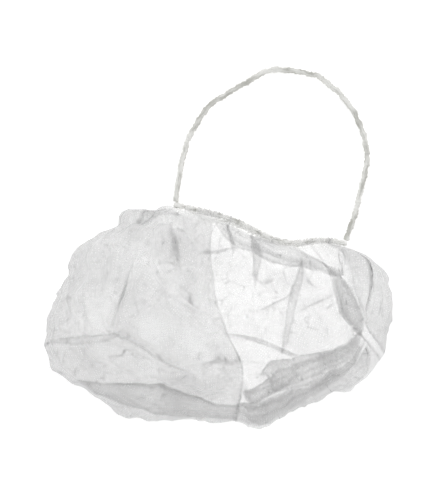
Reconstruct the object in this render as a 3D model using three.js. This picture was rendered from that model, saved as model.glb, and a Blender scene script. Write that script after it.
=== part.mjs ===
// A disposable beard cover, lying on a flat surface. A sheet of thin nonwoven is gathered on all four
// edges into a soft pouch, an elastic rim runs round its mouth, and a covered elastic loop that goes
// over the head is joined to the two corners of the mouth.
// Millimetres, +Z up. The pouch rests on z = 0, its mouth faces +Y and its origin is on its underside.
import * as THREE from "three";

// Driving dimensions
const pouchWidth = 260;
const pouchDepth = 168;
const pouchHeight = 72;
const wallThickness = 1.1;
const rimDiameter = 4.6;
const loopDiameter = 4.2;
const seatGap = 0.3;

// Heights over the surface, and how the walls round off towards the outline
const edgeHeight = 13;
const cornerEdgeHeight = 9;
const cornerHeight = 16;
const cornerReach = 7;
const mouthHeight = 38;
const lowerRimLift = 1.8;
const lowerRimRun = 14;
const upperRounding = 0.55;
const lowerRounding = 0.12;

// Facets of the sheet, the rim and the loop
const sheetColumns = 76;
const upperRows = 17;
const lowerRows = 8;
const rowCrowding = 1.6;
const rimSides = 8;
const rimSteps = 34;
const cornerSteps = 9;
const loopSides = 10;
const loopSteps = 58;

// The pouch's outline seen from above, from the mouth's left corner round the bottom to its right one.
// Shares of half the width and half the depth.
const outline = [
  { across: -0.242, along: 0.976 },
  { across: -0.338, along: 0.95 },
  { across: -0.485, along: 0.944 },
  { across: -0.585, along: 0.821 },
  { across: -0.746, along: 0.673 },
  { across: -0.846, along: 0.536 },
  { across: -0.892, along: 0.298 },
  { across: -0.977, along: 0.0 },
  { across: -1.0, along: -0.262 },
  { across: -0.977, along: -0.429 },
  { across: -0.854, along: -0.595 },
  { across: -0.677, along: -0.75 },
  { across: -0.508, along: -0.917 },
  { across: -0.292, along: -0.94 },
  { across: -0.085, along: -0.935 },
  { across: 0.108, along: -0.976 },
  { across: 0.231, along: -1.0 },
  { across: 0.462, along: -0.833 },
  { across: 0.662, along: -0.714 },
  { across: 0.877, along: -0.524 },
  { across: 0.962, along: -0.262 },
  { across: 1.0, along: 0.06 },
  { across: 0.977, along: 0.321 },
  { across: 0.862, along: 0.548 },
  { across: 0.727, along: 0.657 },
];

// How far the rim sags into the pouch between the mouth's corners, and how much further back its lower
// half lies, most of it near the left corner. Centre, spread and the easing's ends are shares of the way
// from the left corner to the right one.
const rimSag = { depth: 12.5, centre: 0.62, spread: 0.3, ramp: 6 };
const lowerRimBack = { depth: 6, ramp: 8, eased: 0.3, easeFrom: 0.12, easeTo: 0.4 };

// The main folds of the upper wall, each along a curve through three places given as shares of half the
// width and half the depth. A ridge has a positive height and a valley a negative one.
const folds = [
  { name: "bottom crease", start: [-0.8, -0.5], middle: [0.0, -0.7], end: [0.85, -0.16], height: -5, width: 9 },
  { name: "bottom roll", start: [-0.62, -0.74], middle: [0.16, -0.86], end: [0.8, -0.46], height: 5, width: 12 },
  { name: "middle pleat", start: [-0.04, 0.58], middle: [-0.01, 0.13], end: [0.15, -0.49], height: 4, width: 11 },
  { name: "right pleat", start: [0.48, 0.42], middle: [0.42, 0.04], end: [0.37, -0.33], height: 3.5, width: 8 },
  { name: "right hollow", start: [0.56, 0.3], middle: [0.6, 0.03], end: [0.66, -0.22], height: -5, width: 9 },
  { name: "right band", start: [0.68, 0.36], middle: [0.74, 0.06], end: [0.86, -0.2], height: 4, width: 9 },
  { name: "left crease", start: [-0.5, 0.5], middle: [-0.6, 0.1], end: [-0.62, -0.1], height: -4, width: 9 },
  { name: "left shelf", start: [-0.86, -0.24], middle: [-0.56, -0.2], end: [-0.2, -0.46], height: 4, width: 12 },
];
const foldSteps = 40;

// Gathers along the upper rim: soft ripples that fade into the pouch
const gathers = { count: 11, height: 3.2, fade: 0.12 };

// The head loop's route, from the mouth's left corner to its right one. It leaves the rim level and comes
// down to lie on the surface. The first and last points are worked out from the rim.
const loopRoute = [
  { x: -30.8, y: 94, z: 8.2 },
  { x: -29.2, y: 107, z: 4.6 },
  { x: -26.2, y: 122, z: 2.6 },
  { x: -21.8, y: 134.5, z: 2.3 },
  { x: -15.0, y: 146.5, z: 2.3 },
  { x: -6.8, y: 157.5, z: 2.3 },
  { x: 4.0, y: 165, z: 2.3 },
  { x: 19.5, y: 174, z: 2.3 },
  { x: 34.5, y: 182.5, z: 2.3 },
  { x: 44.5, y: 184.5, z: 2.3 },
  { x: 60.8, y: 182.5, z: 2.3 },
  { x: 74.5, y: 179.5, z: 2.3 },
  { x: 84.0, y: 172, z: 2.3 },
  { x: 94.5, y: 162.5, z: 2.3 },
  { x: 102.0, y: 151, z: 2.3 },
  { x: 107.2, y: 140, z: 2.3 },
  { x: 110.4, y: 127.5, z: 2.3 },
  { x: 111.6, y: 117, z: 2.3 },
  { x: 108.8, y: 102.5, z: 2.5 },
  { x: 105.0, y: 86.5, z: 4.4 },
  { x: 101.2, y: 74, z: 7.6 },
];

const nonwoven = new THREE.MeshStandardMaterial({
  color: 0xe8e8e6,
  roughness: 0.95,
  metalness: 0,
  transparent: true,
  opacity: 0.6,
  side: THREE.DoubleSide,
});
const coveredElastic = new THREE.MeshStandardMaterial({ color: 0xdcdcd5, roughness: 0.95, metalness: 0 });

const place = ([across, along]) =>
  new THREE.Vector3((across * pouchWidth) / 2, (along * pouchDepth) / 2, 0);
const outlineCurve = new THREE.CatmullRomCurve3(
  outline.map(({ across, along }) => place([across, along])),
  false,
  "centripetal",
);
const mouthLeft = outlineCurve.getPointAt(0);
const mouthRight = outlineCurve.getPointAt(1);
const mouthAlong = mouthRight.clone().sub(mouthLeft).normalize();
const mouthOut = new THREE.Vector3(-mouthAlong.y, mouthAlong.x, 0);

const bell = (at, { centre, spread }) => Math.exp(-(((at - centre) / spread) ** 2));
const smooth = (at, low, high) => THREE.MathUtils.smoothstep(at, low, high);
const blend = THREE.MathUtils.lerp;

// 0 at the mouth's two corners and 1 half-way round the outline
const fullness = (u) => Math.sin(Math.PI * u);

// 0 at the two corners, and 1 over the stretch between them that the ramp leaves
const clearOfCorners = (u, ramp) => Math.min(1, ramp * u * (1 - u));

// A point of the rim seen from above, u of the way from the left corner to the right one
function rimPoint(u, half) {
  const inset = blend(cornerReach, -cornerReach, u);
  let back = rimSag.depth * bell(u, rimSag) * clearOfCorners(u, rimSag.ramp);
  if (half === "lower") {
    const { depth, ramp, eased, easeFrom, easeTo } = lowerRimBack;
    back += depth * clearOfCorners(u, ramp) * blend(1, eased, smooth(u, easeFrom, easeTo));
  }
  return mouthLeft
    .clone()
    .lerp(mouthRight, u)
    .addScaledVector(mouthAlong, inset)
    .addScaledVector(mouthOut, -back);
}

// Height of the upper wall, share of the way from the outline to the rim
function upperHeight(u, share) {
  const full = fullness(u);
  const edge = blend(cornerEdgeHeight, edgeHeight, full);
  const crown = blend(cornerHeight, pouchHeight, full ** 0.6);
  const mouth = blend(cornerHeight, mouthHeight, full ** 0.8);
  const rounding = blend(1, upperRounding, Math.sqrt(full));
  const rise = share < rounding ? Math.sqrt(1 - (1 - share / rounding) ** 2.2) : 1;
  return edge + (crown - edge) * rise - (crown - mouth) * smooth(share, 0.5, 1);
}

// Height of the lower wall, which lies flat but for its rounded edge and the lift towards its rim. The
// span is the distance from the outline to the rim.
function lowerHeight(u, share, span) {
  const full = fullness(u);
  const edge = blend(cornerEdgeHeight, edgeHeight, full);
  const rounding = blend(1, lowerRounding, Math.sqrt(full));
  const tuck = share < rounding ? 1 - Math.sqrt(1 - (1 - share / rounding) ** 2) : 0;
  const liftStart = Math.max(0, 1 - lowerRimRun / span);
  return edge * tuck + lowerRimLift * smooth(share, liftStart, 1);
}

// Each fold as a run of points, from the curve through its three places
const foldLines = folds.map(({ start, middle, end, height, width }) => {
  const curve = new THREE.CatmullRomCurve3([place(start), place(middle), place(end)]);
  return { points: curve.getPoints(foldSteps), height, width };
});

// Height that the folds add to the upper wall at a point seen from above
function foldHeight(x, y) {
  let sum = 0;
  for (const { points, height, width } of foldLines) {
    let nearest = Infinity;
    let along = 0;
    points.forEach((point, i) => {
      const away = Math.hypot(point.x - x, point.y - y);
      if (away < nearest) {
        nearest = away;
        along = i / foldSteps;
      }
    });
    const taper = Math.sqrt(Math.max(0, Math.sin(Math.PI * blend(0.08, 0.92, along))));
    sum += height * taper * Math.exp(-((nearest / width) ** 2));
  }
  return sum;
}

// A point of the pouch's outer face: u runs round the outline from corner to corner, and row from the
// upper rim, over the outline, to the lower rim
function sheetPoint(u, row) {
  const half = row <= upperRows ? "upper" : "lower";
  const steps = half === "upper" ? (upperRows - row) / upperRows : (row - upperRows) / lowerRows;
  const share = steps ** rowCrowding;
  const edge = outlineCurve.getPointAt(u);
  const rim = rimPoint(u, half);
  const point = edge.clone().lerp(rim, share);
  if (half === "lower") {
    point.z = lowerHeight(u, share, edge.distanceTo(rim));
    return point;
  }
  const inside = Math.sqrt(fullness(u)) * Math.sqrt(Math.sin(Math.PI * share));
  const fromRim = (1 - share) / gathers.fade;
  const ripple = gathers.height * Math.cos(2 * Math.PI * gathers.count * u);
  point.z =
    upperHeight(u, share) +
    foldHeight(point.x, point.y) * inside +
    ripple * fullness(u) * fromRim * Math.exp(1 - fromRim);
  return point;
}

// The pouch: the outer face, the same face one wall thickness further in, and the strip that joins
// them all round the mouth
function pouchGeometry() {
  const rows = upperRows + lowerRows;
  const outer = [];
  for (let i = 0; i <= sheetColumns; i++) {
    for (let j = 0; j <= rows; j++) outer.push(sheetPoint(i / sheetColumns, j));
  }
  const at = (i, j) => i * (rows + 1) + j;
  const point = (i, j) =>
    outer[at(THREE.MathUtils.clamp(i, 0, sheetColumns), THREE.MathUtils.clamp(j, 0, rows))];
  const inner = outer.map((p, k) => {
    const i = Math.floor(k / (rows + 1));
    const j = k % (rows + 1);
    const alongColumns = point(i + 1, j).clone().sub(point(i - 1, j));
    const alongRows = point(i, j + 1).clone().sub(point(i, j - 1));
    const inwards = alongColumns.cross(alongRows).normalize();
    return p.clone().addScaledVector(inwards, wallThickness);
  });
  const triangles = [];
  const quad = (a, b, c, d) => triangles.push(a, b, c, a, c, d);
  const under = outer.length;
  for (let i = 0; i < sheetColumns; i++) {
    for (let j = 0; j < rows; j++) {
      quad(at(i, j), at(i, j + 1), at(i + 1, j + 1), at(i + 1, j));
      quad(under + at(i, j), under + at(i + 1, j), under + at(i + 1, j + 1), under + at(i, j + 1));
    }
  }
  mouthEdge(sheetColumns, rows, at).forEach((a, k, loop) => {
    const b = loop[(k + 1) % loop.length];
    quad(a, under + a, under + b, b);
  });
  const positions = [...outer, ...inner].flatMap((p) => p.toArray());
  const geometry = new THREE.BufferGeometry();
  geometry.setAttribute("position", new THREE.Float32BufferAttribute(positions, 3));
  geometry.setIndex(triangles);
  geometry.computeVertexNormals();
  return geometry;
}

// The numbers of the sheet's boundary points, in order round the mouth
function mouthEdge(columns, rows, at) {
  const loop = [];
  for (let j = 0; j < rows; j++) loop.push(at(0, j));
  for (let i = 0; i < columns; i++) loop.push(at(i, rows));
  for (let j = rows; j > 0; j--) loop.push(at(columns, j));
  for (let i = columns; i > 0; i--) loop.push(at(i, 0));
  return loop;
}

// The rim's centre line: the mouth's edge, moved out square to itself until the tube clears it, and kept
// a tube's radius over the surface
const rimOffset = rimDiameter / 2 + seatGap;
function rimCentre(u, row) {
  const onLongSide = row === 0 || row === upperRows + lowerRows;
  const before = onLongSide ? sheetPoint(Math.max(0, u - 0.01), row) : sheetPoint(u, row - 0.5);
  const after = onLongSide ? sheetPoint(Math.min(1, u + 0.01), row) : sheetPoint(u, row + 0.5);
  const along = after.sub(before).normalize();
  const out = mouthOut.clone().addScaledVector(along, -mouthOut.dot(along)).normalize();
  const centre = sheetPoint(u, row).addScaledVector(out, rimOffset);
  centre.z = Math.max(centre.z, rimDiameter / 2);
  return centre;
}

// A closed tube round a loop of points that faces along mouthOut
function ringGeometry(centres, radius, sides) {
  const positions = [];
  centres.forEach((centre, k) => {
    const before = centres[(k + centres.length - 1) % centres.length];
    const after = centres[(k + 1) % centres.length];
    const along = after.clone().sub(before).normalize();
    const side = new THREE.Vector3().crossVectors(along, mouthOut).normalize();
    const face = new THREE.Vector3().crossVectors(side, along);
    for (let s = 0; s < sides; s++) {
      const turn = (2 * Math.PI * s) / sides;
      const point = centre
        .clone()
        .addScaledVector(side, radius * Math.cos(turn))
        .addScaledVector(face, radius * Math.sin(turn));
      positions.push(...point.toArray());
    }
  });
  const triangles = [];
  centres.forEach((_, k) => {
    const next = (k + 1) % centres.length;
    for (let s = 0; s < sides; s++) {
      const turn = (s + 1) % sides;
      const [a, b] = [k * sides + s, next * sides + s];
      const [c, d] = [next * sides + turn, k * sides + turn];
      triangles.push(a, b, c, a, c, d);
    }
  });
  const geometry = new THREE.BufferGeometry();
  geometry.setAttribute("position", new THREE.Float32BufferAttribute(positions, 3));
  geometry.setIndex(triangles);
  geometry.computeVertexNormals();
  return geometry;
}

// The rim elastic runs along the upper rim, down the right corner, back along the lower rim and up the left
function rimGeometry() {
  const rows = upperRows + lowerRows;
  const centres = [];
  for (let k = 0; k <= rimSteps; k++) centres.push(rimCentre(k / rimSteps, 0));
  for (let k = 1; k < cornerSteps; k++) centres.push(rimCentre(1, (rows * k) / cornerSteps));
  for (let k = rimSteps; k >= 0; k--) centres.push(rimCentre(k / rimSteps, rows));
  for (let k = cornerSteps - 1; k > 0; k--) centres.push(rimCentre(0, (rows * k) / cornerSteps));
  return ringGeometry(centres, rimDiameter / 2, rimSides);
}

// The head loop: a tube whose ends stop just short of the rim at the mouth's two corners
function loopGeometry() {
  const route = loopRoute.map(({ x, y, z }) => new THREE.Vector3(x, y, z));
  const foot = (u, towards) => {
    const corner = rimCentre(u, upperRows);
    const level = new THREE.Vector3(towards.x - corner.x, towards.y - corner.y, 0).normalize();
    return corner.addScaledVector(level, rimDiameter / 2 + seatGap);
  };
  const path = new THREE.CatmullRomCurve3(
    [foot(0, route[0]), ...route, foot(1, route[route.length - 1])],
    false,
    "centripetal",
  );
  const section = new THREE.Shape(
    Array.from({ length: loopSides }, (_, s) => {
      const turn = (2 * Math.PI * s) / loopSides;
      return new THREE.Vector2(Math.cos(turn), Math.sin(turn)).multiplyScalar(loopDiameter / 2);
    }),
  );
  return new THREE.ExtrudeGeometry(section, { steps: loopSteps, extrudePath: path });
}

function piece(name, geometry, material) {
  const mesh = new THREE.Mesh(geometry, material);
  mesh.name = name;
  return mesh;
}

const beardCover = new THREE.Group();
beardCover.add(
  piece("pouch", pouchGeometry(), nonwoven),
  piece("rim_elastic", rimGeometry(), coveredElastic),
  piece("head_loop", loopGeometry(), coveredElastic),
);

export default beardCover;
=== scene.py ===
import math

import bmesh
import bpy
import numpy as np
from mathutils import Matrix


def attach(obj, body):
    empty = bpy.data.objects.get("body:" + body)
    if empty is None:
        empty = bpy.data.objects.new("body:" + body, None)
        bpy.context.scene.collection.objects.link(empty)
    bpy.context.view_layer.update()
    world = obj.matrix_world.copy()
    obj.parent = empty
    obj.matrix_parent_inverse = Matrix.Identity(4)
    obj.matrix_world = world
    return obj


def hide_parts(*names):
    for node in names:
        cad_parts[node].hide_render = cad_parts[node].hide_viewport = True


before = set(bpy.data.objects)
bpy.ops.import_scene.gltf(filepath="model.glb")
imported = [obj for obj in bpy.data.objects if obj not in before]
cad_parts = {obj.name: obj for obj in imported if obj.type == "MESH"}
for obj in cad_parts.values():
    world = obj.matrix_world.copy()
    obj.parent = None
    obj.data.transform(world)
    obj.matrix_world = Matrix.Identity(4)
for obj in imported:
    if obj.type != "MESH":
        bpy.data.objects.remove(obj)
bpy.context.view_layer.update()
scene = bpy.context.scene
mm = 0.001               # the tables below are in millimetres, like a sewing pattern


# small helpers

def blend(a, b, t):
    return a + (b - a) * t


def smoothStep(low, high, x):
    t = np.clip((x - low) / (high - low), 0, 1)
    return t * t * (3 - 2 * t)


def stepLengths(path):
    return np.linalg.norm(np.diff(path, axis=0), axis=1)


def runAlong(path):
    # how far along a line of points each of them lies
    return np.concatenate([[0], np.cumsum(stepLengths(path))])


def unit(rows):
    # each row as a direction of length 1
    return rows / np.maximum(np.linalg.norm(rows, axis=1, keepdims=True), 1e-9)


def curveThrough(points, count, perSpan=24):
    # evenly spaced points on a smooth line through a few given ones (centripetal Catmull-Rom)
    p = np.array(points, float)
    p = np.vstack([2 * p[0] - p[1], p, 2 * p[-1] - p[-2]])
    dense = []
    for a, b, c, d in zip(p[:-3], p[1:-2], p[2:-1], p[3:]):
        gaps = [max(np.linalg.norm(y - x), 1e-6) ** 0.5 for x, y in ((a, b), (b, c), (c, d))]
        k0, k1, k2, k3 = np.cumsum([0] + gaps)
        t = np.linspace(k1, k2, perSpan, endpoint=False)[:, None]
        ab = (a * (k1 - t) + b * (t - k0)) / (k1 - k0)
        bc = (b * (k2 - t) + c * (t - k1)) / (k2 - k1)
        cd = (c * (k3 - t) + d * (t - k2)) / (k3 - k2)
        abc = (ab * (k2 - t) + bc * (t - k0)) / (k2 - k0)
        bcd = (bc * (k3 - t) + cd * (t - k1)) / (k3 - k1)
        dense.append((abc * (k2 - t) + bcd * (t - k1)) / (k2 - k1))
    dense = np.vstack(dense + [p[-2:-1]])
    run = runAlong(dense)
    at = np.linspace(0, run[-1], count)
    return np.column_stack([np.interp(at, run, dense[:, k]) for k in range(dense.shape[1])])


def wobble(along, random, waves, shortest, longest):
    # a sum of soft waves of random length and phase, about -1 to 1
    total = np.zeros_like(along)
    for _ in range(waves):
        length = random.uniform(shortest, longest)
        total += np.sin(2 * np.pi * (along / length + random.uniform()))
    return total / waves ** 0.5 / 1.4


def addObject(name, mesh):
    piece = bpy.data.objects.new(name, mesh)
    scene.collection.objects.link(piece)
    return piece


def meshCoords(mesh):
    coords = np.empty(len(mesh.vertices) * 3)
    mesh.vertices.foreach_get("co", coords)
    return coords.reshape(-1, 3)


def setCoords(mesh, coords):
    mesh.vertices.foreach_set("co", np.ascontiguousarray(coords, float).ravel())
    mesh.update()


# camera: straight down on the cover, as the photograph looks at it

photoView = {
    "pixels": (437, 487),
    "originPixel": (218.9, 315.0),   # where the cover's own origin shows
    "mmPerPixel": 0.75,
    "distance": 3000,
    "sharpHeight": 10,               # the height over the floor at which that scale holds
    "sensor": 36,
    "clipEnd": 20,                   # in metres
}


def addCamera(view):
    width, height = view["pixels"]
    scale = view["mmPerPixel"]
    data = bpy.data.cameras.new("photoCamera")
    data.sensor_width = view["sensor"]
    data.lens = view["sensor"] * view["distance"] / (height * scale)
    data.clip_end = view["clipEnd"]
    camera = bpy.data.objects.new("photoCamera", data)
    across = (width / 2 - view["originPixel"][0]) * scale
    along = (view["originPixel"][1] - height / 2) * scale
    camera.location = (across * mm, along * mm, (view["distance"] + view["sharpHeight"]) * mm)
    scene.collection.objects.link(camera)
    scene.camera = camera


addCamera(photoView)


# head loop: a covered elastic, crimped and a little kinked, lying on the floor between the mouth's corners

headLoop = {
    "route": [
        (-32.4, 85.1, 9.0), (-31.5, 93, 8.2), (-29.2, 107, 4.6), (-26.2, 122, 2.6), (-21.8, 134.5, 2.3),
        (-15.0, 146.5, 2.3), (-6.8, 157.5, 2.3), (4.0, 165, 2.3), (19.5, 174, 2.3), (34.5, 182.5, 2.3),
        (44.5, 184.5, 2.3), (60.8, 182.5, 2.3), (74.5, 179.5, 2.3), (84.0, 172, 2.3), (94.5, 162.5, 2.3),
        (102.0, 151, 2.3), (107.2, 140, 2.3), (110.4, 127.5, 2.3), (111.6, 117, 2.3), (108.8, 102.5, 2.5),
        (105.0, 86.5, 4.4), (101, 72, 7.6), (95.2, 56.1, 9.0),
    ],
    "diameter": 4.2,
    "steps": 430,
    "kink": 0.45,               # how far it strays from its route in mm
    "kinkWaves": (5, 9, 30),    # number of waves, shortest and longest in mm
    "lump": 0.16,               # share that the cover swells and pinches
    "lumpWaves": (8, 4, 13),
    "crimp": 0.32,              # height of the crimps in mm
    "seed": 5,
}

# crimps of the cover, on the loop and on the rim
coverCrimps = {
    "waves": 7,
    "lengths": (2.2, 5.5),      # shortest and longest in mm
    "patternRadius": 2,         # of the pattern that the material wraps round the elastic
    "leastHeight": 0.05,        # over the floor
}


def tubeAlong(name, path, radii, cyclic=False):
    # a round tube on a line of points, made as a bevelled curve and then turned into a mesh
    data = bpy.data.curves.new(name, "CURVE")
    data.dimensions = "3D"
    data.bevel_depth = mm
    data.bevel_resolution = 4
    data.use_fill_caps = not cyclic
    spline = data.splines.new("POLY")
    spline.points.add(len(path) - 1)
    spline.points.foreach_set("co", np.column_stack([path * mm, np.ones(len(path))]).ravel())
    spline.points.foreach_set("radius", np.asarray(radii, float))
    spline.use_cyclic_u = cyclic
    curve = bpy.data.objects.new(name + "Curve", data)
    scene.collection.objects.link(curve)
    graph = bpy.context.evaluated_depsgraph_get()
    mesh = bpy.data.meshes.new_from_object(curve.evaluated_get(graph))
    bpy.data.objects.remove(curve)
    bpy.data.curves.remove(data)
    mesh.name = name
    bm = bmesh.new()
    bm.from_mesh(mesh)
    bmesh.ops.remove_doubles(bm, verts=bm.verts, dist=1e-6)
    bmesh.ops.recalc_face_normals(bm, faces=bm.faces)
    for face in bm.faces:
        face.smooth = True
    bm.to_mesh(mesh)
    bm.free()
    return addObject(name, mesh)


def crimpTube(piece, path, settings, random):
    # short ridges that wind round the elastic, finer than the tube's own lumps
    coords = meshCoords(piece.data) / mm
    nearest = np.empty(len(coords), int)
    block = 4000             # points at a time, to spare memory
    for k in range(0, len(coords), block):
        away = coords[k:k + block, None, :] - path[None]
        nearest[k:k + block] = (away ** 2).sum(2).argmin(1)
    outward = unit(coords - path[nearest])
    tangent = unit(np.gradient(path, axis=0)[nearest])
    side = unit(np.cross(tangent, (0, 0, 1)))
    turn = np.arctan2(outward[:, 2], (outward * side).sum(1))
    along = runAlong(path)[nearest]
    ridge = np.zeros(len(coords))
    for _ in range(coverCrimps["waves"]):
        length = random.uniform(*coverCrimps["lengths"])
        winds = random.integers(-1, 2)
        ridge += np.sin(2 * np.pi * (along / length + random.uniform()) + winds * turn)
    ridge = ridge / coverCrimps["waves"] ** 0.5
    radius = coverCrimps["patternRadius"]
    wrap = np.column_stack([along, radius * np.cos(turn), radius * np.sin(turn)])
    piece.data.attributes.new("wrap", "FLOAT_VECTOR", "POINT").data.foreach_set("vector", wrap.ravel())
    coords = coords + outward * (settings["crimp"] * ridge)[:, None]
    coords[:, 2] = np.maximum(coords[:, 2], coverCrimps["leastHeight"])
    setCoords(piece.data, coords * mm)


def buildHeadLoop(settings):
    random = np.random.default_rng(settings["seed"])
    path = curveThrough(settings["route"], settings["steps"])
    run = np.linspace(0, stepLengths(path).sum(), len(path))
    inside = np.sin(np.pi * run / run[-1]) ** 0.5      # the ends stay where they are sewn on
    side = unit(np.cross(np.gradient(path, axis=0), (0, 0, 1)))
    kink = settings["kink"] * inside * wobble(run, random, *settings["kinkWaves"])
    path = path + side * kink[:, None]
    lump = settings["lump"] * wobble(run, random, *settings["lumpWaves"])
    piece = tubeAlong("headLoop", path, settings["diameter"] / 2 * (1 + lump))
    crimpTube(piece, path, settings, random)
    return piece, path


loopPiece, loopPath = buildHeadLoop(headLoop)


# pouch: one sheet gathered on all four edges, blown up over its outline, then pleated, rolled and crumpled

pouch = {
    "outline": [      # seen from above, from the mouth's left corner round the bottom to its right one
        (-32.5, 80), (-38, 82), (-44, 81), (-49.4, 76.6), (-52.7, 78), (-58, 75.8), (-62, 77), (-68, 79.5),
        (-74.5, 74.5), (-76.5, 67), (-90, 61.2), (-107.5, 49), (-111, 40), (-116, 25), (-127, 0),
        (-130, -22), (-127, -36), (-111, -50), (-88, -63), (-66, -77), (-38, -79), (-11, -78.5), (14, -82),
        (30, -84), (60, -70), (86, -60), (114, -44), (125, -22), (130, 5), (127, 27), (112, 43.5), (94, 51),
    ],
    "height": 72,               # of the fullest part
    "edgeHeight": 13,           # of the outline over the floor
    "cornerEdgeHeight": 9,      # the outline and the upper wall at the mouth's corners
    "cornerHeight": 16,
    "cornerReach": 7,           # from a corner to the rim
    "mouthHeight": 38,
    "mouthFrom": 0.5,           # share of the way to the rim where the upper wall starts to sink
    "crownSwell": 0.6,          # how fast the pouch fills out from its corners, fast below 1
    "mouthSwell": 0.8,
    "roundingSwell": 0.5,
    "upperRounding": 0.55,      # share of the way to the rim over which each wall rounds in from the outline
    "lowerRounding": 0.12,
    "shoulder": 2.2,            # power of that rounding on the upper wall, 2 is a circle
    "rimLift": 1.8,             # how far the lower lip rises, and over what run
    "rimRun": 14,
    "rimSag": {"depth": 9, "centre": 0.64, "spread": 0.24, "ends": 6},
    "lowerBack": {"depth": 6, "eased": 0.3, "easeFrom": 0.12, "easeTo": 0.4, "ends": 8},
    "columns": 560,
    "upperRows": 136,
    "lowerRows": 18,
    "rowCrowding": 1.8,         # crowds the rows towards the outline
    "pleatGap": 0.7,            # between the plies of a pleat, and of a roll
    "rollGap": 0.3,
    "plyTurn": (0.13, 0.31, 0.5),    # turns the web's pattern from ply to ply, in radians
    "hem": {                    # the upper edge is turned over the rim elastic
        "rows": 6,
        "turn": 2.3,            # how far round the elastic it goes, in radians
        "radius": 2.7,
        "gap": 2.6,             # from the edge to the elastic's middle
        "fray": 0.35,
        "frayWaves": (8, 2, 9),
        "crimp": 0.55,
        "crimpWaves": (8, 1.6, 4),
        "crimpRun": 0.5,
    },
    "crumples": [               # waves, shortest and longest in mm, steepness
        (30, 24, 70, 0.05),
        (26, 9, 20, 0.06),
        (22, 4, 8, 0.05),
    ],
    "lowerCrumple": 0.4,        # share of the crumples that the lower wall has
    "outlineCalm": (0.25, 0.22),     # share of all moves that the outline has, and where they are full
    "rimCalm": 0.12,            # share of the way over which all moves end at the rim
    "ragged": [                 # teeth of the outline: height in mm, waves, shortest and longest in mm
        (0.6, 9, 4, 12),
        (1.5, 9, 14, 40),
    ],
    "raggedRun": 0.05,          # shares over which the teeth end at the corners and inwards
    "mostFibre": 2.5,           # how many times a steep piece of web may cover what a flat one does
    "leastHeight": 0.3,         # over the floor
    "sharpFrom": 80,            # degrees between faces
    "seed": 11,
}

# pleats run from the rim towards the outline. Each row is the line of the edge that shows, seen from above,
# with a third number: how far the cloth laps under it there, all in mm. The plies lie to the edge's right.
pleats = {
    "left shelf": [(-126, -18.5, 2), (-112, -16, 5), (-97, -14, 7), (-78, -12.5, 5), (-70, -10, 0)],
    "middle flap": [(-5, 71), (-6, 45), (-1.3, 13.5), (6.5, -12), (17, -34), (18, -50), (15, -66), (13, -83)],
    "rim spike 1": [(5, 68, 2), (9, 52, 4), (9.5, 44, 0)],
    "rim spike 2": [(23, 62, 1), (24, 52, 8), (25, 35, 5), (25.6, 18, 0)],
    "right strip": [(62, 45, 0), (58, 31, 5), (50.5, 4, 6), (46.5, -21, 6), (45.5, -28, 0)],
    "right hollow 1": [(80, 36, 2), (83, 27, 7), (86, 15.5, 13),
                       (90, 2, 18), (101, -11, 13), (109, -17, 2)],
    "right hollow 2": [(81, 36, 0), (84.5, 27, 5), (88, 15.5, 10),
                       (92, 2, 15), (102, -10, 11), (109, -16, 0)],
    "right hollow 3": [(82, 36, 0), (85.5, 27, 4), (89, 15.5, 9),
                       (93, 2, 13), (102.5, -9.5, 10), (109, -15, 0)],
    "corner tuck": [(90, 54, 6), (93, 47, 6), (95.5, 36, 0)],
    "right flap": [(92, 52), (95, 44), (97, 32), (99, 18), (106, 2), (115, -14), (123, -28)],
}

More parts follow.
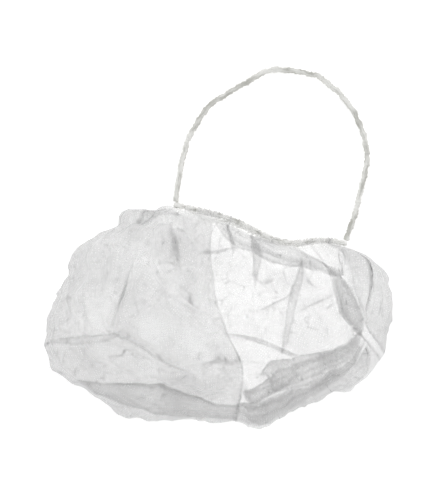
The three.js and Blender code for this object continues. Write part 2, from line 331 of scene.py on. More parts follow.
# rolls run across the pleats, and their plies lie below the edge that shows
rolls = {
    "upper band 1": [(-5, 72, 0), (10, 66.5, 9), (22, 60.5, 13), (35, 57.5, 14),
                     (53, 52.5, 15), (69, 44.5, 15), (82.5, 37.5, 13), (92, 33, 0)],
    "upper band 2": [(0, 70, 0), (10, 65.5, 6), (22, 59.5, 9), (35, 56.5, 10),
                     (53, 51.5, 11), (69, 43.5, 11), (82.5, 36.5, 10), (90, 33, 0)],
    "rim bar": [(-12, 47, 0), (-7, 48.6, 5), (2.6, 49.6, 4), (14, 50.6, 0)],
    "foot gather": [(-33, 72, 0), (-33, 62, 3), (-31, 48, 4), (-30, 34, 0)],
    "window crease 1": [(26, 2.5, 0), (28, 3.8, 0.8), (40, 8.5, 1.5), (53, 14.5, 0.8), (56, 16, 0)],
    "window crease 2": [(57, 2.5, 0), (59, 3.8, 0.8), (71, 10.6, 1.5), (82.5, 16.5, 0.8), (85, 18, 0)],
    "thin strip": [(4, -12, 0), (24, -14.7, 3), (38, -19.6, 3), (51, -25.4, 3), (60, -29, 0)],
    "left crease": [(-62, 46, 0), (-68.6, 29, 1.2), (-75.4, 8, 1.6), (-78, -9, 0)],
    "left slope": [(-76, -12, 0), (-64, -17.6, 1.5), (-44, -31, 2), (-20, -41, 0)],
    "right slope 1": [(30, -45, 0), (36, -34, 10), (43, -31.5, 28), (58.5, -29.5, 27),
                      (80.6, -24, 23), (100, -16.5, 10), (107, -13, 0)],
    "right slope 2": [(18, -55.5, 0), (26, -52.5, 14), (36, -46, 15), (44, -38, 18),
                      (58.5, -34, 16), (80.6, -26, 13), (98, -19, 7), (105, -15.5, 0)],
    "right slope 3": [(17, -57.5, 0), (24, -55.5, 11), (36, -51, 10), (46, -43, 12),
                      (58.5, -36, 9), (80.6, -28, 7), (96, -21.5, 4), (103, -18, 0)],
    "bottom roll 1": [(-106, -47, 0), (-92, -49, 10), (-67, -50, 21), (-42, -53.5, 25), (-17, -60, 24),
                      (6, -66, 12), (20, -65, 25), (33, -62, 28), (58, -52, 23), (76, -45, 12),
                      (104, -24, 3), (112, -16, 0)],
    "bottom roll 2": [(13, -67.5, 0), (20, -66.5, 20), (35, -63, 19), (58, -54, 16),
                      (76, -47, 10), (103, -26, 2), (110, -19, 0)],
    "bottom roll 3": [(17, -68.5, 0), (26, -67, 14), (37, -64, 11), (58, -56, 7),
                      (76, -49, 3), (102, -28, 0), (108, -21, 0)],
    "bottom edge": [(20, -74, 0), (30, -72, 10), (44, -67, 14), (62, -58, 18),
                    (85, -44, 22), (103, -30, 20), (112, -22, 0)],
}

# a flap laps under a long way, so the line of its hidden crease is given instead of laps
hiddenCreases = {
    "middle flap": [(-26, 76), (-34, 79), (-42, 80), (-50, 76.5)],
    "right flap": [(96, 53), (101, 51), (106, 49), (110, 47.5)],
}
rollsAbove = ["left crease"]    # rolls whose plies lie above the edge

folding = {
    "steps": 40,                # points along each fold's edge
    "search": 1500,             # places tried round the outline for each of them
    "leastSpan": 40,            # of the sheet in mm, where it runs to a point
    "leastLap": 0.15,           # in mm, a fold that laps less has run out
    "fullLap": 5,               # in mm, a fold that laps less lies lower
    "edgeLap": 0.5,             # in mm, a fold that laps less has no dark edge
    "climb": 5,                 # in mm, over which the cloth beside a fold climbs on to it
    "last": 0.97,               # no fold goes nearer to the sheet's end
    "leastShare": 0.006,        # of the rows or columns, for each stretch between two creases
    "lowerKeep": 0.9998,        # share by which the pleats run out under the outline, and over what run
    "lowerRun": 0.3,
    "turns": 12,
}

# soft dents and swells of the upper wall that the plies lie on: line, height and width
dents = {
    "bottom crease": ([(-104, -42), (0, -59), (110, -13)], -7, 9),
    "bottom roll": ([(-80, -62), (21, -72), (104, -39)], 1, 12),
    "middle pleat": ([(-5, 49), (-1, 11), (20, -41)], 4, 11),
    "right pleat": ([(62, 35), (55, 3), (48, -28)], 3, 8),
    "right hollow": ([(73, 25), (78, 2.5), (86, -18)], -5, 9),
    "right band": ([(88, 30), (96, 5), (112, -17)], 0.5, 9),
    "left crease": ([(-65, 42), (-78, 8), (-81, -8)], -3, 9),
    "left shelf": ([(-112, -20), (-73, -17), (-26, -39)], 1, 12),
}
dentSteps = 40
dentEnds = (0.08, 0.92)         # as shares of the half wave along a dent

# narrow creases of the upper wall, those that stand out first, then strays
creases = {
    "lines": [
        [(27, 4), (40, 8.5), (53, 15)], [(59, 3.5), (71, 10), (82, 16)], [(74, -17), (81, -10), (87, 1)],
        [(88, 30), (104, 20), (118, 17)], [(86, 24), (100, 11), (114, 8)], [(98, 44), (102, 30), (104, 16)],
        [(-106, 8), (-88, 26), (-70, 44)], [(-112, 46), (-90, 47), (-70, 46)],
        [(-98, 20), (-100, 4), (-96, -8)], [(-72, -9), (-58, -20), (-44, -32)],
        [(-30, 30), (-14, 22), (-4, 4)], [(-44, 12), (-28, -6), (-22, -26)],
        [(98, -22), (112, -28), (122, -38)], [(84, -52), (96, -44), (104, -28)],
        [(8, 40), (24, 33), (40, 34)], [(-34, 70), (-36, 56), (-30, 40)],
        [(30, 46), (36, 34), (34, 22)], [(62, -8), (66, -20), (60, -32)],
    ],
    "steps": 30,
    "depth": 0.7,
    "width": 0.8,
    "reach": 6,                 # in mm, further away nothing of a crease is left
    "strays": 45,
    "strayArea": ((-115, -65), (115, 65)),
    "strayLength": (8, 36),
    "strayBow": 0.2,
    # painted shade: the deeper creases and the edges of folds get dark lines in the cloth's colour, set below
    "strayDepth": 0.4,          # only a deeper crease is dark
    "darkEdge": 1.6,            # how fast its dark line fades, fast above 1
    "foldEdge": 0.2,            # how dark the edge of a fold is beside a crease
    "fade": (0.03, 0.14),       # share of the way from the outline where creases come in
    "seed": 3,
}

# where the upper wall lies slack, with more or fewer small tucks than elsewhere
tucks = {
    "waves": (16, 18, 48, 0.006),    # number, shortest and longest in mm, steepness
    "limits": (-0.6, 0.8),
    "places": [                      # place, reach and share
        ((-90, 6), 15, -0.45), ((-72, -2), 8, 0.3), ((-100, 36), 13, -0.2), ((-36, 20), 17, -0.35),
        ((-24, 44), 13, 0.35), ((-54, -36), 11, -0.45), ((-98, -26), 11, 0.3), ((-14, -10), 18, -0.35),
        ((30, -38), 10, 0.4), ((-62, 24), 9, 0.2), ((-35, 49), 10, 0.5), ((-110, -8), 14, -0.25),
        ((-35, -57), 12, 0.3), ((-44, -8), 13, -0.25), ((-25, -50), 11, 0.9), ((-22, 24), 10, 0.9),
        ((26, -12), 12, 0.5), ((62, -8), 8, 0.6), ((78, -17), 11, 0.8), ((106, -20), 12, 0.8),
        ((112, -34), 10, 0.8), ((70, 40), 9, 0.3), ((66, -36), 9, -0.3), ((60, -70), 9, 0.6),
        ((84, -58), 9, 0.6), ((-100, -56), 9, 0.6), ((-58, 74), 9, -0.6), ((20, 56), 8, -0.5),
        ((83, 37), 6, -0.5), ((62, -20), 8, 0.8), ((-68, -40), 9, 0.4), ((17, -60), 6, 0.8),
    ],
}

outlineTable = curveThrough(pouch["outline"], 2000)
mouthLeft = outlineTable[0]
mouthRight = outlineTable[-1]
mouthWidth = np.linalg.norm(mouthRight - mouthLeft)
mouthAlong = (mouthRight - mouthLeft) / mouthWidth
mouthOut = np.array([-mouthAlong[1], mouthAlong[0]])
mouthFacing = np.append(mouthOut, 0.0)
dentRuns = [(curveThrough(line, dentSteps + 1), *sizes) for line, *sizes in dents.values()]


def outlinePoint(u):
    at = np.clip(u, 0, 1) * (len(outlineTable) - 1)
    return np.column_stack([np.interp(at, np.arange(len(outlineTable)), outlineTable[:, k]) for k in (0, 1)])


def rimPoint(u, upper):
    sag = pouch["rimSag"]
    lower = pouch["lowerBack"]
    back = sag["depth"] * np.exp(-((u - sag["centre"]) / sag["spread"]) ** 2)
    back = back * np.minimum(1, sag["ends"] * u * (1 - u))
    eased = blend(1, lower["eased"], smoothStep(lower["easeFrom"], lower["easeTo"], u))
    back = back + np.where(upper, 0, lower["depth"] * np.minimum(1, lower["ends"] * u * (1 - u)) * eased)
    reach = blend(pouch["cornerReach"], -pouch["cornerReach"], u)
    straight = mouthLeft + (mouthRight - mouthLeft) * u[:, None]
    return straight + mouthAlong * reach[:, None] - mouthOut * back[:, None]


def dentHeight(plan):
    total = np.zeros(len(plan))
    for line, height, width in dentRuns:
        away = ((plan[:, None, :] - line[None]) ** 2).sum(2)
        nearest = away.argmin(1)
        taper = np.sqrt(np.sin(np.pi * blend(*dentEnds, nearest / dentSteps)))
        total += height * taper * np.exp(-away[np.arange(len(plan)), nearest] / width ** 2)
    return total


def barePouch(u, s, upper):
    # the smooth pouch: u runs round the outline, s from the outline (0) to the rim (1) on either wall
    p = pouch
    share = np.clip(s, 0, 1) ** p["rowCrowding"]
    edge = outlinePoint(u)
    rim = rimPoint(u, upper)
    plan = edge + (rim - edge) * share[:, None]
    full = np.sin(np.pi * np.clip(u, 0, 1))
    edgeZ = blend(p["cornerEdgeHeight"], p["edgeHeight"], full)
    crown = blend(p["cornerHeight"], p["height"], full ** p["crownSwell"])
    mouth = blend(p["cornerHeight"], p["mouthHeight"], full ** p["mouthSwell"])
    rounding = blend(1, p["upperRounding"], full ** p["roundingSwell"])
    rise = np.sqrt(1 - np.clip(1 - share / rounding, 0, 1) ** p["shoulder"])
    upperZ = edgeZ + (crown - edgeZ) * rise - (crown - mouth) * smoothStep(p["mouthFrom"], 1, share)
    upperZ = upperZ + dentHeight(plan) * np.sqrt(full * np.sin(np.pi * share))
    tuckRun = blend(1, p["lowerRounding"], full ** p["roundingSwell"])
    tuck = 1 - np.sqrt(1 - np.clip(1 - share / tuckRun, 0, 1) ** 2)
    span = np.linalg.norm(rim - edge, axis=1)
    liftStart = np.maximum(0, 1 - p["rimRun"] / np.maximum(span, 1e-3))
    lowerZ = edgeZ * tuck + p["rimLift"] * smoothStep(liftStart, 1, share)
    return np.column_stack([plan, np.where(upper, upperZ, lowerZ)])


def bareSlopes(u, s, upper):
    # how the smooth pouch moves with u and with s, in mm
    small = 2e-3
    uHigh = np.minimum(u + small, 1)
    uLow = np.maximum(u - small, 0)
    sHigh = np.minimum(s + small, 1)
    sLow = np.maximum(s - small, 0)
    alongU = (barePouch(uHigh, s, upper) - barePouch(uLow, s, upper)) / (uHigh - uLow)[:, None]
    alongS = (barePouch(u, sHigh, upper) - barePouch(u, sLow, upper)) / (sHigh - sLow)[:, None]
    return alongU, alongS


def placeOnSheet(points):
    # u and s of places on the upper wall, given as they are seen from above
    us = np.linspace(0, 1, folding["search"])
    edge = outlinePoint(us)
    span = rimPoint(us, True) - edge
    found = []
    for x, y in points:
        share = ((np.array([x, y]) - edge) * span).sum(1) / (span ** 2).sum(1)
        miss = np.linalg.norm(edge + span * np.clip(share, 0, 1)[:, None] - (x, y), axis=1)
        best = miss.argmin()
        found.append((us[best], np.clip(share[best], 0, 1) ** (1 / pouch["rowCrowding"])))
    return np.array(found)


def foldTracks(folds, direction):
    # each fold's edge and lap as tables over the other direction of the sheet (0: pleats, 1: rolls)
    tracks = []
    for name, points in folds.items():
        line = curveThrough(points, folding["steps"])
        places = placeOnSheet(line[:, :2])
        slopes = bareSlopes(places[:, 0], places[:, 1], np.ones(len(places), bool))[direction]
        scale = np.maximum(np.linalg.norm(slopes[:, :2], axis=1), folding["leastSpan"])
        if direction:
            places[:, 1] = 1 - places[:, 1]
        order = places[:, 1 - direction].argsort()
        at = places[order, 1 - direction]
        edge = places[order, direction]
        scale = scale[order]
        if name in hiddenCreases:
            hidden = placeOnSheet(curveThrough(hiddenCreases[name], folding["steps"]))
            hidden = hidden[hidden[:, 1 - direction].argsort()]
            reach = edge - np.interp(at, hidden[:, 1 - direction], hidden[:, direction])
            over = reach.mean() > 0
            size = np.maximum(reach if over else -reach, 0) * scale
        else:
            over = name in rollsAbove
            size = np.maximum(line[order, 2], 0)
        tracks.append({"at": at, "edge": edge, "lap": size / scale, "size": size, "scale": scale,
                       "over": over, "bothWalls": name in hiddenCreases})
    return tracks


def foldLimits(other, tracks, keep):
    # where each fold's two creases lie for points at these places of the other direction
    edges, laps, sizes, scales = [
        np.array([np.interp(other, track["at"], track[key]) for track in tracks])
        for key in ("edge", "lap", "size", "scale")
    ]
    stay = np.array([track["bothWalls"] for track in tracks])[:, None]
    laps = np.where(stay, laps, laps * keep)
    sizes = np.where(stay, sizes, sizes * keep)
    over = np.array([track["over"] for track in tracks])[:, None]
    lows = np.where(over, edges - laps, edges)
    highs = np.where(over, edges, edges + laps)
    # a fold that has run out keeps its place in line between those that go on
    gone = sizes < folding["leastLap"]
    rest = edges.copy()
    last = np.zeros_like(edges[0])
    for k in range(len(tracks)):
        rest[k] = np.maximum(edges[k], last)
        last = np.where(gone[k], rest[k], lows[k])
    last = np.ones_like(edges[0])
    for k in reversed(range(len(tracks))):
        rest[k] = np.minimum(rest[k], last)
        last = np.where(gone[k], rest[k], highs[k])
    lows = np.where(gone, rest, lows)
    highs = np.minimum(np.where(gone, rest, highs), folding["last"])
    return lows, highs, sizes, 1 / scales


def foldPath(segment, part, other, tracks, keep):
    # where each point lies along a folded direction, the level of its ply, and how near a fold's edge it is
    lows, highs, sizes, grains = foldLimits(other, tracks, keep)
    zero = np.zeros_like(other)
    starts = [zero, *lows]
    ends = [*highs, zero + 1]
    where = np.zeros_like(other)
    for k in range(len(tracks) + 1):
        pick = segment == 2 * k
        where[pick] = blend(starts[k][pick], ends[k][pick], part[pick])
        if k < len(tracks):
            pick = segment == 2 * k + 1
            where[pick] = blend(highs[k][pick], lows[k][pick], part[pick])
    level = np.zeros_like(other)
    edge = np.zeros_like(other)
    for k, track in enumerate(tracks):
        before = segment <= 2 * k
        back = segment == 2 * k + 1
        own = np.where(back, 1.0, np.where(before == track["over"], 2.0, 0.0))
        nearHigh = np.exp(-np.abs(where - highs[k]) / grains[k]) * (before | back)
        nearLow = np.exp(-np.abs(where - lows[k]) / grains[k]) * ~before
        top, low = (1.5, 0.5) if track["over"] else (0.5, 1.5)
        own = blend(own, top, nearHigh)
        own = blend(own, low, nearLow)
        climb = folding["climb"] * grains[k]
        inside = smoothStep(0, 1, (where - lows[k]) / climb + 1)
        inside = inside * smoothStep(0, 1, (highs[k] - where) / climb + 1)
        level += own * inside * smoothStep(0, folding["fullLap"], sizes[k])
        seen = smoothStep(folding["edgeLap"], folding["fullLap"], sizes[k])
        edge = np.maximum(edge, np.maximum(nearHigh, nearLow) * seen)
    return where, level, edge


def shareOut(tracks, total):
    # how many rows or columns each stretch between two creases gets, by its average length
    lows, highs, _, _ = foldLimits(np.linspace(0.1, 0.9, 17), tracks, 1)
    stops = [0 * lows[0]]
    for low, high in zip(lows, highs):
        stops += [high, low]
    stops.append(0 * lows[0] + 1)
    lengths = np.maximum(np.abs(np.diff(stops, axis=0)).mean(1), folding["leastShare"])
    counts = np.maximum(2, np.floor(total * lengths / lengths.sum())).astype(int)
    counts[counts.argmax()] += total - counts.sum()
    segment = np.concatenate([np.full(n, k) for k, n in enumerate(counts)] + [[len(counts) - 1]])
    part = np.concatenate([np.arange(n) / n for n in counts] + [[1.0]])
    return segment, part


def settleFolds(column, row, upper, lowerS):
    # u and s of each point of the folded sheet, its lift, its nearness to a fold's edge and its segments
    pleatTracks = foldTracks(pleats, 0)
    rollTracks = foldTracks(rolls, 1)
    columnSegment, columnPart = shareOut(pleatTracks, pouch["columns"])
    rowSegment, rowPart = shareOut(rollTracks, pouch["upperRows"])
    pleatSegment = columnSegment[column]
    rollSegment = rowSegment[row]
    keep = np.where(upper, 1, 1 - folding["lowerKeep"] * smoothStep(0, folding["lowerRun"], lowerS))
    u = (column / pouch["columns"]).astype(float)
    # the two directions depend on each other, so they settle in a few turns
    for _ in range(folding["turns"]):
        down, rollLevel, rollEdge = foldPath(rollSegment, rowPart[row], u, rollTracks, 1)
        s = np.clip(np.where(upper, 1 - down, lowerS), 0, 1)
        turned, pleatLevel, pleatEdge = foldPath(pleatSegment, columnPart[column], s, pleatTracks, keep)
        u = np.clip(blend(u, turned, 0.5), 0, 1)
    lift = pouch["pleatGap"] * pleatLevel + pouch["rollGap"] * np.where(upper, rollLevel, 0)
    folded = np.where(upper, np.maximum(rollEdge, pleatEdge), 0)
    return u, s, lift, folded, pleatSegment, rollSegment


def crumple(points, random, waves, shortest, longest, steep):
    # sharp-crested waves in random directions that come and go
    meanHeight = 0.637       # of a wave, taken off so that the wall isn't lifted
    phase = 6.3
    total = np.zeros(len(points))
    for _ in range(waves):
        length = random.uniform(shortest, longest)
        way = random.normal(size=3)
        way /= np.linalg.norm(way)
        cross = np.cross(way, random.normal(size=3))
        cross /= np.linalg.norm(cross)
        bend = 0.3 * np.sin(points @ cross / length * random.uniform(0.5, 1.5) + random.uniform(0, phase))
        wave = np.abs(np.sin(np.pi * points @ way / length + bend * np.pi + random.uniform(0, phase)))
        patch = np.sin(points @ random.normal(size=3) / length * 0.8 + random.uniform(0, phase))
        total += steep * length * (wave - meanHeight) * smoothStep(-0.2, 0.7, patch)
    return total


def creaseRelief(plan, settings):
    # V-shaped lines sunk in or standing up, strongest half-way along, and a dark line of painted shade along
    # the deeper ones
    random = np.random.default_rng(settings["seed"])
    steps = settings["steps"]
    lines = [(curveThrough(line, steps), settings["depth"]) for line in settings["lines"]]
    for _ in range(settings["strays"]):
        middle = random.uniform(*settings["strayArea"])
        reach = random.uniform(*settings["strayLength"]) / 2
        way = random.uniform(0, np.pi)
        ahead = np.array([np.cos(way), np.sin(way)]) * reach
        bow = np.array([-ahead[1], ahead[0]]) * random.uniform(-settings["strayBow"], settings["strayBow"])
        line = curveThrough([middle - ahead, middle + bow, middle + ahead], steps)
        lines.append((line, random.uniform(-settings["strayDepth"], settings["strayDepth"])))
    relief = np.zeros(len(plan))
    creaseShade = np.zeros(len(plan))
    for line, depth in lines:
        low = line.min(0) - settings["reach"]
        high = line.max(0) + settings["reach"]
        close = np.flatnonzero(np.all((plan > low) & (plan < high), axis=1))
        away = np.linalg.norm(plan[close][:, None] - line[None], axis=2)
        nearest = away.argmin(1)
        taper = np.sin(np.pi * (nearest + 0.5) / steps)
        ridge = taper * np.exp(-away[np.arange(len(close)), nearest] / settings["width"])
        relief[close] -= depth * ridge
        # painted shade: a dark line in the cloth's colour along each deeper crease
        dark = max(0, depth - settings["strayDepth"]) * ridge ** settings["darkEdge"]
        creaseShade[close] = np.maximum(creaseShade[close], dark)
    return np.array([relief, creaseShade])


def tuckShare(plan, random):
    total = crumple(np.column_stack([plan, 0 * plan[:, 0]]), random, *tucks["waves"])
    for place, reach, share in tucks["places"]:
        total += share * np.exp(-((plan - place) ** 2).sum(1) / reach ** 2)
    return np.clip(total, *tucks["limits"])


def raggedEdge(u, random):
    # small teeth and bumps of the outline, in mm
    along = u * stepLengths(outlineTable).sum()
    total = np.zeros_like(u)
    for height, *waves in pouch["ragged"]:
        total += height * wobble(along, random, *waves)
    return total * smoothStep(0, pouch["raggedRun"], u * (1 - u))


def unrolled(u, s):
    # how much longer the way from the rim to a point is on the cloth than seen from above, in mm
    columns = 60
    rows = 120
    depths = np.linspace(1, 0, rows + 1)
    table = []
    for place in np.linspace(0, 1, columns + 1):
        wall = barePouch(np.full(rows + 1, place), depths, np.full(rows + 1, True))
        longer = stepLengths(wall) - stepLengths(wall[:, :2])
        table.append(np.concatenate([[0], np.cumsum(longer)]))
    table = np.array(table)
    left = np.minimum((u * columns).astype(int), columns - 1)
    top = np.minimum(((1 - s) * rows).astype(int), rows - 1)
    down = (1 - s) * rows - top
    onLeft = blend(table[left, top], table[left, top + 1], down)
    onRight = blend(table[left + 1, top], table[left + 1, top + 1], down)
    return blend(onLeft, onRight, u * columns - left)


def turnHem(points, u, hem, random):
    # lays the rows past the rim over the rim elastic, with a crimped and frayed edge
    settings = pouch["hem"]
    along = u * mouthWidth
    turn = hem * settings["turn"] * (1 + settings["fray"] * wobble(along, random, *settings["frayWaves"]))
    crimp = settings["crimp"] * wobble(along, random, *settings["crimpWaves"])
    radius = settings["radius"] + crimp * smoothStep(0, settings["crimpRun"], hem)
    over = (settings["gap"] - radius * np.cos(turn))[:, None] * mouthFacing
    over[:, 2] = radius * np.sin(turn)
    return np.where(hem[:, None] > 0, points + over, points)


def flatSheet(columns, rows):
    bm = bmesh.new()
    bm.loops.layers.uv.new("cloth")
    bmesh.ops.create_grid(bm, x_segments=columns, y_segments=rows, size=0.5, calc_uvs=True)
    for face in bm.faces:
        face.smooth = True
    mesh = bpy.data.meshes.new("pouchCloth")
    bm.to_mesh(mesh)
    bm.free()
    return mesh


def storeWeb(mesh, laid, turn, bunched, creaseShade):
    # what the material reads: the web's own pattern, how much fibre it has there, and the painted shade along
    # its creases and fold edges
    cloth = np.column_stack([laid[:, 0] * np.cos(turn) - laid[:, 1] * np.sin(turn),
                             laid[:, 0] * np.sin(turn) + laid[:, 1] * np.cos(turn)]) * mm
    corners = np.empty(len(mesh.loops), int)
    mesh.loops.foreach_get("vertex_index", corners)
    mesh.uv_layers["cloth"].data.foreach_set("uv", cloth[corners].ravel())
    facing = np.empty(len(mesh.vertices) * 3)
    mesh.vertices.foreach_get("normal", facing)
    # a tilted web has more fibre one behind the other
    tilt = 1 / np.maximum(np.abs(facing.reshape(-1, 3)[:, 2]), 1 / pouch["mostFibre"])
    mesh.attributes.new("steepness", "FLOAT", "POINT").data.foreach_set("value", tilt * bunched)
    mesh.attributes.new("creaseShade", "FLOAT", "POINT").data.foreach_set("value", creaseShade)


def buildPouch(settings):
    random = np.random.default_rng(settings["seed"])
    hemRows = settings["hem"]["rows"]
    upperRows = settings["upperRows"]
    lowerRows = settings["lowerRows"]
    rows = hemRows + upperRows + lowerRows
    mesh = flatSheet(settings["columns"], rows)
    flat = meshCoords(mesh)
    column = np.rint((flat[:, 0] + 0.5) * settings["columns"]).astype(int)
    row = np.rint((flat[:, 1] + 0.5) * rows).astype(int) - hemRows
    hem = np.maximum(-row, 0) / hemRows
    upper = row <= upperRows
    lowerS = np.clip((row - upperRows) / lowerRows, 0, 1)
    rollRow = np.clip(row, 0, upperRows)
    u, s, lift, folded, pleatSegment, rollSegment = settleFolds(column, rollRow, upper, lowerS)

    points = barePouch(u, s, upper)
    plan = points[:, :2]
    alongU, alongS = bareSlopes(u, s, upper)
    normals = unit(np.cross(alongU, alongS) * np.where(upper, 1, -1)[:, None])
    share = s ** settings["rowCrowding"]
    inside = np.sqrt(np.sin(np.pi * u)) * smoothStep(0, settings["rimCalm"], 1 - share)
    rough = sum(crumple(points, random, *waves) for waves in settings["crumples"])
    relief, creaseShade = creaseRelief(plan, creases) * smoothStep(*creases["fade"], share)
    rough = rough + np.where(upper, relief, 0)
    bunched = np.where(upper, 1 + tuckShare(plan, random), 1)
    # painted shade: dark lines along the creases and the edges of folds, which darken the material's colour
    creaseShade = np.where(upper, np.maximum(creaseShade, creases["foldEdge"] * folded), 0)
    creaseShade = np.clip(creaseShade * inside, 0, 1)
    least, calmRun = settings["outlineCalm"]
    calm = blend(least, 1, smoothStep(0, calmRun, share))      # the outline stays where it was laid
    rough = rough * np.where(upper, 1, settings["lowerCrumple"])
    moves = normals * ((lift + rough) * inside * calm)[:, None]

    inward = unit(rimPoint(u, upper) - outlinePoint(u))
    laid = plan - inward * np.where(upper, unrolled(u, s), 0)[:, None]
    pleatTurn, rollTurn, lowerTurn = settings["plyTurn"]
    turn = pleatTurn * pleatSegment + rollTurn * rollSegment + np.where(upper, 0, lowerTurn)
    points = points + moves
    teeth = raggedEdge(u, random) * np.exp(-share / settings["raggedRun"])
    points[:, :2] -= inward * teeth[:, None]
    points = turnHem(points, u, hem, random)
    points[:, 2] = np.maximum(points[:, 2], settings["leastHeight"])
    setCoords(mesh, points * mm)
    storeWeb(mesh, laid, turn, bunched, creaseShade)

    # close the folds up where they have run out
    bm = bmesh.new()
    bm.from_mesh(mesh)
    bmesh.ops.dissolve_degenerate(bm, edges=bm.edges, dist=2e-5)
    bm.to_mesh(mesh)
    bm.free()
    mesh.set_sharp_from_angle(angle=math.radians(settings["sharpFrom"]))
    return addObject("pouchCloth", mesh)


pouchPiece = buildPouch(pouch)
print("pouch", len(pouchPiece.data.polygons), "faces")


# rim: the covered elastic that gathers the sheet all round the mouth

rimElastic = {
    "diameter": 4.6,
    "gap": 0.3,                 # from the sheet's edge
    "slim": 0.78,               # the elastic's share of its covered diameter
    "lipPoints": 60,            # along each lip, and on the short way round each corner
    "cornerPoints": 9,
    "steps": 520,
    "lump": 0.2,
    "lumpWaves": (9, 3.5, 11),
    "crimp": 0.4,
    "seed": 8,
}


def buildRim(settings):
    random = np.random.default_rng(settings["seed"])
    radius = settings["diameter"] / 2
    lip = np.linspace(0, 1, settings["lipPoints"])
    corner = np.linspace(0, 1, settings["cornerPoints"])[1:-1]
    runs = [
        (lip, 1 + 0 * lip, True),
        (1 + 0 * corner, 1 - corner, True),
        (1 + 0 * corner, corner, False),
        (lip[::-1], 1 + 0 * lip, False),
        (0 * corner, 1 - corner, False),
        (0 * corner, corner, True),
    ]
    edge = np.vstack([barePouch(u, s, np.full(len(u), upper)) for u, s, upper in runs])
    along = unit(np.roll(edge, -2, axis=0) - np.roll(edge, 2, axis=0))
    out = unit(mouthFacing - along * (along @ mouthFacing)[:, None])
    path = edge + out * (radius + settings["gap"])
    path[:, 2] = np.maximum(path[:, 2], radius)
    path = curveThrough(np.vstack([path, path[:1]]), settings["steps"] + 1)[:-1]
    run = np.arange(len(path)) * stepLengths(path).mean()
    lump = settings["lump"] * wobble(run, random, *settings["lumpWaves"])
    piece = tubeAlong("rimElastic", path, settings["slim"] * radius * (1 + lump), cyclic=True)
    crimpTube(piece, path, settings, random)
    return piece


rimPiece = buildRim(rimElastic)
print("rim elastic", len(rimPiece.data.polygons), "faces")


# materials

nonwoven = {
    "colour": (0.925, 0.925, 0.925, 1),
    # painted shade for the creases and fold edges, mixed into the colour
    "paintedShadeColour": (0.48, 0.48, 0.48, 1),
    "roughness": 0.9,
    "through": 0.5,             # share of the caught light that goes on through the fibres
    "cover": 0.30,              # share of light that the web catches, the rest goes through its pores
    "clouds": {"Scale": 60.0, "Detail": 9.0, "Roughness": 0.72},
    "cloudSpan": (0.3, 0.7),    # of that noise, from the thinnest web to the densest
    "cloudCover": (0.6, 1.4),
    "dotPitch": 1.9,            # bond points, in mm
    "dotScatter": 0.3,
    "dotEdge": (0.12, 0.32),    # where a bond point starts and ends to fade, as shares of the pitch
    "dotCover": 1.7,            # how much more the web covers at a bond point, where it is fused
    "creaseSpan": 17,           # between the fine creases, in mm
    "creaseWidth": 0.38,
    "creaseBend": 4,            # in mm
    "creaseWarp": {"Scale": 45.0, "Detail": 2.0},
    "creasePatches": {"Scale": 55.0, "Detail": 1.0},
    "patchSpan": (0.5, 0.64),   # of that noise, from no fine creases to all
}
elasticFuzz = {"Scale": 0.55, "Detail": 6.0, "Roughness": 0.62}
elasticCover = {
    "colour": (0.93, 0.93, 0.90, 1),
    "deep": (0.52, 0.52, 0.48, 1),
    "patchy": (0.3, 0.62),      # where the noise turns from deep to light
    "drawn": (0.12, 0.6, 0.6),  # how the noise is drawn out along and round the elastic
    "roughness": 0.95,
}
rimCover = {
    "colour": (0.95, 0.95, 0.93, 1),
    "deep": (0.42, 0.42, 0.38, 1),
    "patchy": (0.33, 0.52),
    "drawn": (0.22, 1, 1),
    "roughness": 0.95,
}


def newMaterial(name):
    material = bpy.data.materials.new(name)
    material.use_nodes = True
    nodes = material.node_tree.nodes
    return material, nodes, material.node_tree.links, nodes["Principled BSDF"]


def addNode(nodes, kind, **values):
    node = nodes.new(kind)
    for key, value in values.items():
        if key in node.inputs:
            node.inputs[key].default_value = value
        else:
            setattr(node, key, value)
    return node


def addTexture(nodes, links, kind, place, output, **values):
    node = addNode(nodes, kind, **values)
    links.new(place, node.inputs["Vector"])
    return node.outputs[output]


def addRange(nodes, links, value, fromSpan, toSpan, kind="SMOOTHSTEP"):
    node = addNode(nodes, "ShaderNodeMapRange", interpolation_type=kind)
    for key, number in zip(("From Min", "From Max", "To Min", "To Max"), (*fromSpan, *toSpan)):
        node.inputs[key].default_value = number
    links.new(value, node.inputs["Value"])
    return node.outputs["Result"]


def addMath(nodes, links, operation, *values, clamp=False):
    node = addNode(nodes, "ShaderNodeMath", operation=operation, use_clamp=clamp)
    for socket, value in zip(node.inputs, values):
        links.new(value, socket)
    return node.outputs["Value"]


def addTone(nodes, links, share, first, second):
    node = addNode(nodes, "ShaderNodeMix", data_type="RGBA")
    node.inputs[6].default_value = first         # its two colours
    node.inputs[7].default_value = second
    links.new(share, node.inputs["Factor"])
    return node.outputs[2]


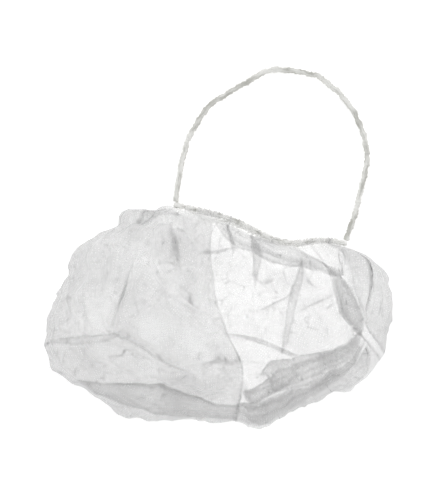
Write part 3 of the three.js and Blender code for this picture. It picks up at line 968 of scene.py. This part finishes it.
def nonwovenMaterial(settings):
    material, nodes, links, shader = newMaterial("nonwoven")
    shader.inputs["Roughness"].default_value = settings["roughness"]
    shader.inputs["Specular IOR Level"].default_value = 0
    place = addNode(nodes, "ShaderNodeUVMap", uv_map="cloth").outputs["UV"]
    creaseShade = addNode(nodes, "ShaderNodeAttribute", attribute_name="creaseShade").outputs["Fac"]
    steepness = addNode(nodes, "ShaderNodeAttribute", attribute_name="steepness").outputs["Fac"]

    # fine creases: dark lines of painted shade on the edges of bent cells, which come and go
    warp = addTexture(nodes, links, "ShaderNodeTexNoise", place, "Color", **settings["creaseWarp"])
    bent = addNode(nodes, "ShaderNodeVectorMath", operation="MULTIPLY_ADD")
    bent.inputs[1].default_value = [settings["creaseBend"] * mm] * 3
    links.new(warp, bent.inputs[0])
    links.new(place, bent.inputs[2])
    cells = addTexture(nodes, links, "ShaderNodeTexVoronoi", bent.outputs["Vector"], "Distance",
                       feature="DISTANCE_TO_EDGE", Scale=1000 / settings["creaseSpan"])
    thin = addRange(nodes, links, cells, (0, settings["creaseWidth"] / settings["creaseSpan"]), (1, 0))
    patches = addTexture(nodes, links, "ShaderNodeTexNoise", place, "Fac", **settings["creasePatches"])
    some = addRange(nodes, links, patches, settings["patchSpan"], (0, 1))
    fine = addMath(nodes, links, "MULTIPLY", thin, some)
    # painted shade: the creases darken the colour, and they also thicken the cover
    shadeAndDensity = addMath(nodes, links, "MAXIMUM", creaseShade, fine)
    tone = addTone(nodes, links, shadeAndDensity, settings["colour"], settings["paintedShadeColour"])

    # cover: clouds of fibre and bond points, denser in creases and where the web is steep or bunched
    dots = addTexture(nodes, links, "ShaderNodeTexVoronoi", place, "Distance",
                      Scale=1000 / settings["dotPitch"], Randomness=settings["dotScatter"])
    bond = addRange(nodes, links, dots, settings["dotEdge"], (settings["dotCover"], 1))
    clouds = addTexture(nodes, links, "ShaderNodeTexNoise", place, "Fac", **settings["clouds"])
    dense = [share * settings["cover"] for share in settings["cloudCover"]]
    cloudy = addRange(nodes, links, clouds, settings["cloudSpan"], dense, "LINEAR")
    cover = addMath(nodes, links, "MULTIPLY", bond, cloudy)
    thick = addMath(nodes, links, "MULTIPLY_ADD", shadeAndDensity, cover, cover)
    caught = addMath(nodes, links, "MULTIPLY", thick, steepness, clamp=True)

    through = addNode(nodes, "ShaderNodeBsdfTranslucent")
    pores = addNode(nodes, "ShaderNodeBsdfTransparent")
    web = addNode(nodes, "ShaderNodeMixShader", Fac=settings["through"])
    cloth = addNode(nodes, "ShaderNodeMixShader")
    links.new(tone, shader.inputs["Base Color"])
    links.new(tone, through.inputs["Color"])
    links.new(shader.outputs["BSDF"], web.inputs[1])
    links.new(through.outputs["BSDF"], web.inputs[2])
    links.new(caught, cloth.inputs["Fac"])
    links.new(pores.outputs["BSDF"], cloth.inputs[1])
    links.new(web.outputs["Shader"], cloth.inputs[2])
    links.new(cloth.outputs["Shader"], nodes["Material Output"].inputs["Surface"])
    return material


def elasticMaterial(name, settings):
    material, nodes, links, shader = newMaterial(name)
    shader.inputs["Roughness"].default_value = settings["roughness"]
    wrap = addNode(nodes, "ShaderNodeAttribute", attribute_name="wrap")
    drawn = addNode(nodes, "ShaderNodeMapping", Scale=settings["drawn"])
    links.new(wrap.outputs["Vector"], drawn.inputs["Vector"])
    fuzz = addTexture(nodes, links, "ShaderNodeTexNoise", drawn.outputs["Vector"], "Fac", **elasticFuzz)
    flecks = addRange(nodes, links, fuzz, settings["patchy"], (0, 1))
    tone = addTone(nodes, links, flecks, settings["deep"], settings["colour"])
    links.new(tone, shader.inputs["Base Color"])
    return material


finishes = [
    (pouchPiece, nonwovenMaterial(nonwoven)),
    (loopPiece, elasticMaterial("coveredElastic", elasticCover)),
    (rimPiece, elasticMaterial("rimElastic", rimCover)),
]
for piece, material in finishes:
    piece.data.materials.clear()
    piece.data.materials.append(material)
print("materials", len(finishes))


# floor and light

studio = {
    "floorSize": 6.0,
    "floorColour": (0.95, 0.95, 0.95, 1),
    "floorGlow": 0.35,            # the white surface is lit from below as well, like a light table
    "world": 0.72,
    "keyPower": 7.0,
    "keySize": 1.6,
    "keyPlace": (0.2, 1.5, 1.7),
    "bounces": 24,                # enough for light to pass all the plies
    "diffuseBounces": 12,
    "transparentBounces": 64,
}


def addStage(settings):
    bm = bmesh.new()
    bmesh.ops.create_grid(bm, x_segments=1, y_segments=1, size=settings["floorSize"] / 2)
    mesh = bpy.data.meshes.new("floor")
    bm.to_mesh(mesh)
    bm.free()
    floor = addObject("floor", mesh)
    material, _, _, shader = newMaterial("floorPaper")
    shader.inputs["Base Color"].default_value = settings["floorColour"]
    shader.inputs["Emission Color"].default_value = (1, 1, 1, 1)
    shader.inputs["Emission Strength"].default_value = settings["floorGlow"]
    shader.inputs["Roughness"].default_value = 1
    shader.inputs["Specular IOR Level"].default_value = 0
    mesh.materials.append(material)
    world = bpy.data.worlds.new("softRoom")
    world.use_nodes = True
    room = world.node_tree.nodes["Background"]
    room.inputs["Color"].default_value = (1, 1, 1, 1)
    room.inputs["Strength"].default_value = settings["world"]
    scene.world = world
    light = bpy.data.lights.new("key", "AREA")
    light.energy = settings["keyPower"]
    light.size = settings["keySize"]
    key = bpy.data.objects.new("key", light)
    key.location = settings["keyPlace"]
    aim = -key.location.normalized()
    key.rotation_euler = aim.to_track_quat("-Z", "Y").to_euler()
    scene.collection.objects.link(key)
    scene.view_settings.view_transform = "Standard"
    scene.cycles.max_bounces = settings["bounces"]
    scene.cycles.diffuse_bounces = settings["diffuseBounces"]
    scene.cycles.transmission_bounces = settings["bounces"]
    scene.cycles.transparent_max_bounces = settings["transparentBounces"]


addStage(studio)
print("floor and light")


# what each piece stands for

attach(pouchPiece, "root")
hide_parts("pouch")
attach(rimPiece, "root")
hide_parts("rim_elastic")
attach(loopPiece, "root")
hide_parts("head_loop")
